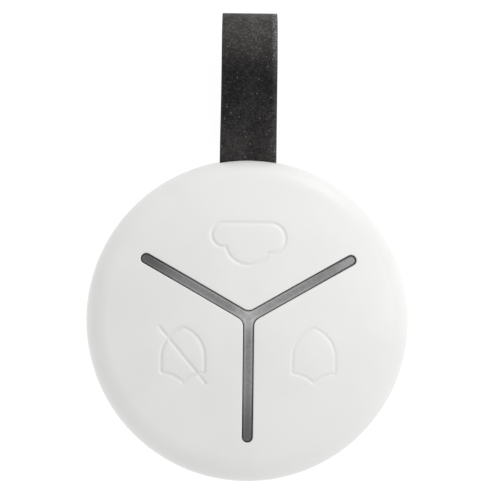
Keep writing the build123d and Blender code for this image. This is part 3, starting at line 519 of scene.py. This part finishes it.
def cloud():
    """A closed outline with a flat side towards the strap and three lobes away from it."""
    top = 2.58
    # Each lobe's middle and radius
    left, middle, right = (-3.28, top - 1.58, 1.58), (-0.08, 0.12, 3.03), (2.7, top - 2.01, 2.01)

    def meet(first, second):
        """Where two lobes meet, on the side away from the strap."""
        (x1, y1, r1), (x2, y2, r2) = first, second
        apart = math.hypot(x2 - x1, y2 - y1)
        along = (apart**2 + r1**2 - r2**2) / (2 * apart)
        across = math.sqrt(r1**2 - along**2)
        unit_x, unit_y = (x2 - x1) / apart, (y2 - y1) / apart
        return x1 + along * unit_x + across * unit_y, y1 + along * unit_y - across * unit_x

    def lobe(circle, start, end):
        x, y, radius = circle
        first = math.atan2(start[1] - y, start[0] - x)
        last = math.atan2(end[1] - y, end[0] - x)
        halfway = first - (first - last) % (2 * math.pi) / 2
        through = (x + radius * math.cos(halfway), y + radius * math.sin(halfway))
        return arc(start, through, end, STROKE_STEP)

    left_meet, right_meet = meet(left, middle), meet(middle, right)
    return joined(
        straight((left[0], top), (right[0], top), STROKE_STEP),
        lobe(right, (right[0], top), right_meet),
        lobe(middle, right_meet, left_meet),
        lobe(left, left_meet, (left[0], top)),
    )


SYMBOLS = {
    "upper": [cloud()],
    "lower_left": [shield(), straight((-3.0, 3.6), (2.88, -3.5), STROKE_STEP)],
    "lower_right": [shield()],
}


# The front face: three sectors from the slot to the parting line

def distances(points, strokes):
    """How far each point lies from the nearest stroke."""
    points = np.asarray(points, float)
    best = np.full(len(points), 99.0)
    for stroke in strokes:
        start = np.asarray(stroke[:-1], float)
        run = np.asarray(stroke[1:], float) - start
        length = (run**2).sum(1)
        for first in range(0, len(points), 2000):
            part = points[first:first + 2000, None, :] - start[None]
            share = np.clip((part * run[None]).sum(2) / length[None], 0, 1)
            gap = np.sqrt(((part - share[..., None] * run[None]) ** 2).sum(2)).min(1)
            best[first:first + 2000] = np.minimum(best[first:first + 2000], gap)
    return best


def slot_distance(x, y):
    """How far inside the slot's edge a point of a sector lies, in the sector's own frame."""
    x = abs(x)
    along, across = x * COS30 + y * SIN30, y * COS30 - x * SIN30
    if along > TIP_CENTRE:
        return math.hypot(along - TIP_CENTRE, across) - HALF_SLOT
    if along < JUNCTION_TANGENT:
        return JUNCTION_ROUND - math.hypot(x, y - JUNCTION_CENTRE)
    return across - HALF_SLOT


def slot_line(inset):
    """The slot's edge, moved into the sector, from the left ray to the right ray."""
    def on_arm(along, across):
        return along * COS30 - across * SIN30, along * SIN30 + across * COS30

    right = []
    bend = JUNCTION_ROUND - inset
    for turn in (-90, -80, -70, -60):
        t = math.radians(turn)
        right.append((bend * math.cos(t), JUNCTION_CENTRE + bend * math.sin(t)))
    away = HALF_SLOT + inset
    right += straight(on_arm(JUNCTION_TANGENT, away), on_arm(TIP_CENTRE, away), SLOT_STEP)[1:]
    for turn in (80, 70, 60, 50, 40, 30, 20, 12, 5, 0):
        t = math.radians(turn)
        right.append(on_arm(TIP_CENTRE + away * math.cos(t), away * math.sin(t)))
    return [(-x, y) for x, y in right[:0:-1]] + right


def is_closed(stroke):
    return math.dist(stroke[0], stroke[-1]) < 1e-6


def beside(stroke, gap, strokes):
    """Lines that keep a gap from a stroke on both sides, and round its ends and outer corners."""
    closed = is_closed(stroke)
    ring = stroke[:-1] if closed else stroke + stroke[-2:0:-1]
    lines = []
    for side in (1, -1) if closed else (1,):
        line = []
        for i, (x, y) in enumerate(ring):
            before, after = ring[i - 1], ring[(i + 1) % len(ring)]
            first = math.atan2(y - before[1], x - before[0]) + side * math.pi / 2
            last = math.atan2(after[1] - y, after[0] - x) + side * math.pi / 2
            turn = (last - first + math.pi) % (2 * math.pi) - math.pi
            if not closed and abs(abs(turn) - math.pi) < 1e-3:
                turn = -math.pi  # the end of an open stroke, which the line goes round
            count = max(1, math.ceil(abs(turn) / math.radians(15)))
            angles = [first + turn * k / count for k in range(count + 1)]
            line += [(x + gap * math.cos(a), y + gap * math.sin(a)) for a in angles]
        # Points that come too near to a stroke, as inside a corner, are left out
        far = distances(line, strokes) > gap - 0.004
        run = []
        for point, kept in zip(line + line[:1], list(far) + [far[0]]):
            if kept and not (run and math.dist(run[-1], point) < 0.03):
                run.append(point)
            elif not kept:
                lines.append(run)
                run = []
        lines.append(run)
    return [line for line in lines if len(line) > 1]


def dome_height(radius, inset=0.0):
    """The height of the dome at a distance from the middle, or of the surface that is set in from it."""
    return DOME_CENTRE + math.sqrt((DOME_RADIUS - inset) ** 2 - radius**2)


def rim_radius(z, inset=0.0):
    """How far the rounded rim reaches at a height, or the surface that is set in from it."""
    return RIM_CENTRE + math.sqrt((RIM_ROUND - inset) ** 2 - (z - RIM_CENTRE_HEIGHT) ** 2)


def on_rim(lean, inset=0.0):
    """The radius and height of the rounded rim where its surface leans by an angle."""
    curve = RIM_ROUND - inset
    return RIM_CENTRE + curve * math.sin(lean), RIM_CENTRE_HEIGHT + curve * math.cos(lean)


def swung(points, degrees):
    """Points turned about the middle of the face."""
    cos, sin = math.cos(math.radians(degrees)), math.sin(math.radians(degrees))
    return [(x * cos - y * sin, x * sin + y * cos, *rest) for x, y, *rest in points]


def on_circle(radius, degrees):
    """A point of a sector, by its distance from the middle and its angle from the sector's axis."""
    return radius * math.sin(math.radians(degrees)), radius * math.cos(math.radians(degrees))


def ease(value, low, high):
    """Follows a value smoothly from 0, at low, to 1, at high."""
    share = min(1.0, max(0.0, (value - low) / (high - low)))
    return share * share * (3 - 2 * share)


def groove(gap, edge, depth):
    """How deep the surface lies at a distance from the middle of a groove with sloping sides."""
    def ramp(distance):
        held = min(max(distance, 0.0), GROOVE_ROUND)
        return held * held / (2 * GROOVE_ROUND) + max(0.0, distance - GROOVE_ROUND)

    side = edge - GROOVE_FLOOR
    climb = ramp(gap - GROOVE_FLOOR) - ramp(gap - edge + GROOVE_ROUND)
    return depth * (1 - climb / (side - GROOVE_ROUND))


def rim_turns(button):
    """The angles of the rim's points, and how far the rim stands back at some of them."""
    steps = [RIM_STEP * i for i in range(-47, 48)]
    turns = [-HALF_SECTOR, -FIRST_RAY] + steps + [FIRST_RAY, HALF_SECTOR]
    if button != "upper":
        return turns, {}
    # The steps that lie too near to the ends of the strap's opening make way for them
    low, high = NOTCH - 3 * NOTCH_SIDE, NOTCH + 2 * NOTCH_SIDE
    ends = [hand * (NOTCH - back) for hand in (-1, 1) for back in (0.0, NOTCH_SIDE)]
    turns = sorted([t for t in turns if not low < abs(t) < high] + ends)
    return turns, {t: RIM_RELIEF for t in turns if abs(t) < NOTCH - NOTCH_SIDE / 2}


def rim_profile():
    """Pairs of points (r, z), outside and inside, from the dome's end down to the parting line."""
    steps = 16
    profile = []
    for i in range(1, steps + 1):
        pair = []
        for inset in (0.0, FACE_WALL):
            lowest = math.acos((OPENING_TOP - RIM_CENTRE_HEIGHT) / (RIM_ROUND - inset))
            pair.append(on_rim(RIM_LEAN + (lowest - RIM_LEAN) * i / steps, inset))
        profile.append(pair)
    for z in (5.87, 5.6, 5.38, SEAM_TOP + 0.07):
        profile.append([(rim_radius(z), z), (rim_radius(z, FACE_WALL), z)])
    # The softened edge over the seam, and the seam
    wall = RADIUS - FACE_WALL
    for back, z, inner_z in (
        (0.02, SEAM_TOP + 0.02, SEAM_TOP + 0.04), (0.07, SEAM_TOP, SEAM_TOP + 0.02),
        (SEAM_DEPTH, SEAM_TOP, SEAM_TOP), (SEAM_DEPTH, PARTING, PARTING),
    ):
        profile.append([(RADIUS - back, z), (wall, inner_z)])
    return profile


def symbol_lines(button, strokes):
    """Lines along the middle of a symbol's grooves and along both of their sloping sides."""
    half = GROOVES[button][0]
    gaps = (
        GROOVE_FLOOR, GROOVE_FLOOR + GROOVE_ROUND / 2, GROOVE_FLOOR + GROOVE_ROUND,
        (GROOVE_FLOOR + half) / 2,
        half - GROOVE_ROUND, half - GROOVE_ROUND / 2, half,
    )
    lines = []
    for stroke in strokes:
        lines.append(stroke[:-1] if is_closed(stroke) else stroke)
        for gap in gaps:
            lines += beside(stroke, gap, strokes)
    return lines


def open_field(strokes):
    """Points in rows over a sector, clear of its edges and of its symbol."""
    spacing, margin = 0.7, 0.35
    field = []
    for row in range(33):
        for column in range(-30, 31):
            x, y = (column + 0.5 * (row % 2)) * spacing, row * spacing * COS30
            r = math.hypot(x, y)
            from_ray = math.radians(HALF_SECTOR) - abs(math.atan2(x, y))
            if r < PLAN_RADIUS - margin and from_ray > margin / max(r, 1) and slot_distance(x, y) > 0.5:
                field.append((x, y))
    return [p for p, gap in zip(field, distances(field, strokes)) if gap > 0.6]


def sector_plan(button, strokes, turns):
    """The sector seen from the front: its points, its faces, and its points along the rim."""
    points, edges = [], []

    def chain(line):
        first = len(points)
        points.extend(line)
        edges.extend((first + i, first + i + 1) for i in range(len(line) - 1))
        return list(range(first, len(points)))

    # The slot's edge, the right ray, the rim and the left ray make one closed boundary
    rays = [SLOT_REACH + 0.25, 16.8, 17.3, 17.8]
    edge = slot_line(0.0)
    on_ray = [SLOT_REACH + d for d in SLOT_INSETS] + rays
    right = [(r * COS30, r * SIN30) for r in on_ray]
    rim = [on_circle(PLAN_RADIUS, t) for t in turns]
    left = [(-x, y) for x, y in reversed(right)]
    boundary = chain(edge + right + rim[::-1] + left)
    edges.append((boundary[-1], boundary[0]))
    first_rim = len(edge) + len(right)
    rim_ids = boundary[first_rim:first_rim + len(rim)][::-1]

    # Lines along the slot's rounding, beside the rays and along the symbol, and points over the rest
    for inset in SLOT_INSETS:
        chain(slot_line(inset)[1:-1])
    for hand in (-1, 1):
        chain([on_circle(r, hand * FIRST_RAY) for r in rays])
    for line in symbol_lines(button, strokes):
        chain(line)
    points += open_field(strokes)

    flat, _, faces, sources, _, _ = delaunay_2d_cdt([Vector(p) for p in points], edges, [], 1, 1e-5)
    where = {source: i for i, group in enumerate(sources) for source in group}
    upright = []
    for face in faces:
        (ax, ay), (bx, by), (cx, cy) = (flat[i] for i in face[:3])
        turns_left = (bx - ax) * (cy - ay) - (by - ay) * (cx - ax) > 0
        upright.append(list(face) if turns_left else list(face)[::-1])
    return [tuple(p) for p in flat], upright, [where[i] for i in rim_ids]


def skin_point(x, y, gap, button):
    """The outer and the inner surface over a place of the plan, which lies a gap from the symbol."""
    height = dome_height(math.hypot(x, y)) - groove(gap, *GROOVES[button])
    from_slot = max(0.0, slot_distance(x, y))
    if from_slot < SLOT_EDGE_ROUND:
        short = SLOT_EDGE_ROUND - from_slot
        height -= SLOT_EDGE_ROUND - math.sqrt(SLOT_EDGE_ROUND**2 - short**2)
    pull = 1 - FACE_WALL / DOME_RADIUS * ease(math.hypot(x, y), SLOT_REACH + 0.3, PLAN_RADIUS)
    inner_height = dome_height(math.hypot(x, y) * pull, FACE_WALL)
    return (x, y, height), (x * pull, y * pull, inner_height)


def sector(button):
    """One sector of the face as a closed shell: its dome, pressed symbol, rim and walls."""
    away = BUTTONS["upper"] - BUTTONS[button]
    strokes = [[(x, y + SYMBOL_RING) for x, y in swung(stroke, away)] for stroke in SYMBOLS[button]]
    turns, relief = rim_turns(button)
    flat, skin, before = sector_plan(button, strokes, turns)
    pairs = [skin_point(x, y, gap, button) for (x, y), gap in zip(flat, distances(flat, strokes))]
    outer, inner = [pair[0] for pair in pairs], [pair[1] for pair in pairs]

    for (r, z), (inner_r, inner_z) in rim_profile():
        now = []
        for t in turns:
            now.append(len(outer))
            outer.append((*on_circle(min(r, RADIUS - relief.get(t, 0.0)), t), z))
            inner.append((*on_circle(inner_r, t), inner_z))
        for i in range(len(turns) - 1):
            in_notch = abs(turns[i] + turns[i + 1]) / 2 < NOTCH
            if not (button == "upper" and in_notch and z < OPENING_TOP - 0.01):
                skin.append([before[i + 1], now[i + 1], now[i], before[i]])
        before = now

    # Both skins, and walls between them along every open edge
    used = sorted({i for face in skin for i in face})
    number = {old: new for new, old in enumerate(used)}
    count = len(used)
    skin = [[number[i] for i in face] for face in skin]
    shell = skin + [[i + count for i in face[::-1]] for face in skin]
    sides = {(a, b) for face in skin for a, b in zip(face, face[1:] + face[:1])}
    shell += [[b, a, a + count, b + count] for a, b in sides if (b, a) not in sides]
    solid = swung([outer[i] for i in used] + [inner[i] for i in used], -away)
    made = piece(f"face_{button}", solid, shell, "white_plastic")
    smooth(made, 38)
    return made


for button, angle in BUTTONS.items():
    face = sector(button)
    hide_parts(f"button_{button}", "front_cover")
    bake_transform(face)


# Turned pieces

def turned(name, profile, steps, finish, middle=(0.0, 0.0)):
    """A solid of revolution, drawn up ring by ring from a disc."""
    (radius, height), (x, y) = profile[0], middle
    bpy.ops.mesh.primitive_circle_add(
        vertices=steps, radius=radius * MM, fill_type="NGON", location=(x * MM, y * MM, height * MM))
    made = bpy.context.active_object
    made.name = name
    bpy.ops.object.mode_set(mode="EDIT")
    for next_radius, next_height in profile[1:]:
        step = (0.0, 0.0, (next_height - height) * MM)
        share = next_radius / radius
        bpy.ops.mesh.extrude_region_move(TRANSFORM_OT_translate={"value": step})
        centre = (x * MM, y * MM, next_height * MM)
        bpy.ops.transform.resize(value=(share, share, 1.0), center_override=centre)
        radius, height = next_radius, next_height
    bpy.ops.mesh.select_all(action="SELECT")
    bpy.ops.mesh.normals_make_consistent(inside=False)
    bpy.ops.object.mode_set(mode="OBJECT")
    bpy.ops.object.transform_apply(location=True, rotation=True, scale=True)
    made.data.materials.append(FINISHES[finish])
    made.select_set(False)
    return made


def snap_profile():
    """The dished sheet under a plunger, from the middle of its underside round its foot to its crown."""
    steps = 10
    outer = (SNAP_RADIUS**2 + SNAP_RISE**2) / (2 * SNAP_RISE)
    inner = outer - SNAP_SHEET
    centre = SNAP_FLOOR + SNAP_RISE - outer
    inner_foot = math.acos((SNAP_FLOOR - centre) / inner)
    outer_foot = math.asin(SNAP_RADIUS / outer)
    under = [SNAP_CROWN + (inner_foot - SNAP_CROWN) * i / steps for i in range(steps + 1)]
    over = [SNAP_CROWN + (outer_foot - SNAP_CROWN) * i / steps for i in range(steps, -1, -1)]
    skins = [(inner, a) for a in under] + [(outer, a) for a in over]
    return [(curve * math.sin(a), centre + curve * math.cos(a)) for curve, a in skins]


# The post under each button, with a flared root, and the snap dome under its plunger
for button, angle in BUTTONS.items():
    spot = (SWITCH_RING * math.cos(math.radians(angle)), SWITCH_RING * math.sin(math.radians(angle)))
    pin = turned(f"post_{button}", POST, 40, "white_plastic", spot)
    smooth(pin, 40)
    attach(pin, f"button_{button}")
    snap = turned(f"snap_dome_{button}", snap_profile(), 48, "spring_metal", spot)
    smooth(snap, 40)
    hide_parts(f"switch_dome_{button}")
    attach(snap, "case")
    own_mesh(snap)


# The inside of the front cover

def merge_points(made, distance):
    """Joins the points of a piece that lie closer together than a distance in metres."""
    pick(made)
    bpy.ops.object.mode_set(mode="EDIT")
    bpy.ops.mesh.select_all(action="SELECT")
    bpy.ops.mesh.remove_doubles(threshold=distance)
    bpy.ops.object.mode_set(mode="OBJECT")
    made.select_set(False)


def inside_of_cover():
    """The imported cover, cut back to just below the face."""
    made = bpy.data.objects.new("front_cover_inside", frame["nodes"]["front_cover"].data.copy())
    bpy.context.collection.objects.link(made)
    merge_points(made, 1e-7)

    inset = 1.1  # just under the face, whose wall hides the cut
    below = 3.0  # lower than the front cover reaches
    steps = 8
    profile = [(RADIUS - inset, below)]
    for i in range(steps + 1):
        profile.append(on_rim(math.pi / 2 + (RIM_LEAN - math.pi / 2) * i / steps, inset))
    for share in (0.86, 0.65):
        r = PLAN_RADIUS * share
        profile.append((r, dome_height(r, inset)))
    core = turned("cover_core", profile, 96, "white_plastic")
    applied(made, "BOOLEAN", operation="INTERSECT", solver="EXACT", object=core)
    bpy.data.objects.remove(core)
    merge_points(made, 1e-6)  # the cut leaves a few points on top of each other
    smooth(made, 30)
    return made


inside = inside_of_cover()
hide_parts("front_cover")
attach(inside, "case")


# The strap

def band_line():
    """The middle of the band from its side, as (y, z) from its mid-plane, out on top and back below."""
    root_z = STRAP_THICKNESS / 2
    rise, run = HALF_BULGE - root_z, STRAP_WIDEST - STRAP_ROOT
    lean = 2 * math.atan(rise / run)
    flank = run / math.sin(lean) - ROOT_BEND
    fold_centre = STRAP_FOLD - FOLD_ROUND
    reach = fold_centre - STRAP_WIDEST
    shoulder = (reach**2 + HALF_BULGE**2 - FOLD_ROUND**2) / (2 * (HALF_BULGE - FOLD_ROUND))
    turn = math.atan2(reach, shoulder - HALF_BULGE)

    def bend(middle_y, middle_z, radius, start, end, steps):
        """An arc by its angles from straight up. A negative radius bends the other way."""
        angles = [start + (end - start) * i / steps for i in range(1, steps + 1)]
        return [(middle_y + radius * math.sin(a), middle_z + radius * math.cos(a)) for a in angles]

    line = straight((STRAP_START, root_z), (STRAP_ROOT, root_z), 0.4)
    line += bend(STRAP_ROOT, root_z + ROOT_BEND, -ROOT_BEND, 0.0, -lean, 10)
    line += bend(STRAP_WIDEST, HALF_BULGE - flank, flank, -lean, 0.0, 20)
    line += bend(STRAP_WIDEST, HALF_BULGE - shoulder, shoulder, 0.0, turn, 8)
    line += bend(fold_centre, 0.0, FOLD_ROUND, turn, math.pi / 2, 14)
    return line + [(y, -z) for y, z in line[-2::-1]]


def band_columns():
    """Places across the band, each with its share of the full thickness."""
    half = STRAP_WIDTH / 2
    inner = half - THIN_EDGE[-1][0]
    columns = [(-half + inset, share) for inset, share in THIN_EDGE]
    columns += [(-inner + 2 * inner * k / 8, 1.0) for k in range(1, 8)]
    return columns + [(half - inset, share) for inset, share in reversed(THIN_EDGE)]


def strap():
    """The band as it is cut, folded along its line and then given its thickness."""
    line, columns = band_line(), band_columns()
    lengths = [0.0]
    for a, b in zip(line, line[1:]):
        lengths.append(lengths[-1] + math.dist(a, b))
    bpy.ops.mesh.primitive_grid_add(
        x_subdivisions=len(columns) - 1, y_subdivisions=len(line) - 1, size=1.0)
    made = bpy.context.active_object
    made.name = "strap"
    mesh = made.data
    thinning = made.vertex_groups.new(name="thickness")
    marks = []
    for vertex in mesh.vertices:
        column = round((vertex.co.x + 0.5) * (len(columns) - 1))
        row = round((vertex.co.y + 0.5) * (len(line) - 1))
        (u, share), (y, z) = columns[column], line[row]
        narrow = ease(y, STRAP_ROOT + 1, STRAP_NARROW)
        width = STRAP_WIDTH + (STRAP_FOLD_WIDTH - STRAP_WIDTH) * narrow
        shift = UNDER_LAYER_SHIFT * ease(lengths[row] / lengths[-1], 0.6, 0.95)
        vertex.co = Vector((u * width / STRAP_WIDTH + shift, y, STRAP_MID + z)) * MM
        from_fold = lengths[row] - lengths[-1] / 2
        full = 1.0 - ease(abs(from_fold), *THICK_NEAR_FOLD)
        thinning.add([vertex.index], share + (1.0 - share) * full, "REPLACE")
        marks.append((u, from_fold))
    applied(
        made, "SOLIDIFY", thickness=STRAP_THICKNESS * MM, offset=0.0,
        use_even_offset=True, vertex_group=thinning.name)
    # The two skins have the same points in the same order
    place = mesh.attributes.new("band", "FLOAT_VECTOR", "POINT")
    sides = [(u, from_fold, side * STRAP_THICKNESS / 2) for side in (1, -1) for u, from_fold in marks]
    place.data.foreach_set("vector", [c for mark in sides for c in mark])
    made.vertex_groups.clear()
    applied(
        made, "BEVEL", width=STRAP_EDGE_ROUND * MM, segments=2,
        limit_method="ANGLE", angle_limit=math.radians(50))
    mesh.materials.append(FINISHES["strap_fabric"])
    smooth(made, 60)
    return made


band = strap()
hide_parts("strap_loop", "strap_tail")
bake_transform(band)


# Camera

# The camera stands a little off the face's axis
TILT = math.radians(3.9)  # towards -Y
LEAN = math.radians(1.6)  # towards -X
ROLL = math.radians(0.47)
DISTANCE = 0.5
target = Vector((-0.12, 9.56, 5.0)) * MM
back = Vector((-math.sin(LEAN), -math.sin(TILT), 1.0)).normalized()
side = Vector((0.0, 1.0, 0.0)).cross(back).normalized()
up = back.cross(side)
image_up = up * math.cos(ROLL) - side * math.sin(ROLL)
image_side = side * math.cos(ROLL) + up * math.sin(ROLL)
lens = bpy.data.cameras.new("camera")
lens.lens = 278.6
lens.sensor_width = 36.0
lens.clip_start = 0.05
lens.clip_end = 20.0
camera = bpy.data.objects.new("camera", lens)
bpy.context.collection.objects.link(camera)
placing = Matrix((image_side, image_up, back)).transposed().to_4x4()
placing.translation = target + back * DISTANCE
camera.matrix_world = placing
bpy.context.scene.camera = camera


# Light

def lamp(name, azimuth, elevation, distance, size, watts):
    """A round lamp that faces the fob from an azimuth, from +X towards +Y, and an elevation."""
    data = bpy.data.lights.new(name, "AREA")
    data.shape = "DISK"
    data.size = size
    data.energy = watts
    made = bpy.data.objects.new(name, data)
    bpy.context.collection.objects.link(made)
    a, e = math.radians(azimuth), math.radians(elevation)
    away = Vector((math.cos(a) * math.cos(e), math.sin(a) * math.cos(e), math.sin(e)))
    made.location = away * distance + Vector((0.0, 0.0, 5.0 * MM))
    made.rotation_mode = "QUATERNION"
    made.rotation_quaternion = away.to_track_quat("Z", "Y")


lamp("key", 22, 48, 0.6, 0.34, 0.90)
lamp("far fill", 62, 15, 0.6, 0.30, 0.56)

scene = bpy.context.scene
scene.view_settings.view_transform = "Standard"


def studio():
    """Even light from all round, a little stronger from below, against plain white."""
    scene.world = bpy.data.worlds.new("studio")
    scene.world.use_nodes = True
    sky = Nodes(scene.world.node_tree)
    seen = sky.rays("Camera", "Glossy", "Transmission")
    height = sky.axes(sky.node("ShaderNodeTexCoord", {}, {}, "Generated"))[2]
    around = sky.ramp(height, -0.15, 0.15, 1.04, 0.722)
    background = sky.tree.nodes["Background"]
    background.inputs["Color"].default_value = (1.0, 1.0, 1.0, 1.0)
    sky.feed(background.inputs["Strength"], around + seen * (1.0 - around))


def floor():
    """A pale floor that shows the object's shadow and lets the light from below through."""
    just_below = -0.03 * MM
    bpy.ops.mesh.primitive_plane_add(size=3.0, location=(0.0, 0.0, just_below))
    made = bpy.context.active_object
    made.name = "floor"
    material = bpy.data.materials.new("pale floor")
    material.use_nodes = True
    material.node_tree.nodes.clear()
    ground = Nodes(material.node_tree)
    glow = ground.node("ShaderNodeEmission", {}, {"Strength": 0.92})
    paint = ground.node("ShaderNodeBsdfDiffuse", {}, {"Color": (0.15, 0.15, 0.15)})
    pale = ground.node("ShaderNodeAddShader", {}, {0: glow, 1: paint})
    clear = ground.node("ShaderNodeBsdfTransparent", {}, {})
    behind = ground.node("ShaderNodeNewGeometry", {}, {}, "Backfacing")
    shown = ground.rays("Camera", "Glossy") * (1.0 - behind)
    mixed = ground.node("ShaderNodeMixShader", {}, {0: shown, 1: clear, 2: pale})
    out = ground.tree.nodes.new("ShaderNodeOutputMaterial")
    ground.feed(out.inputs["Surface"], mixed)
    made.data.materials.append(material)
    made.select_set(False)


studio()
floor()
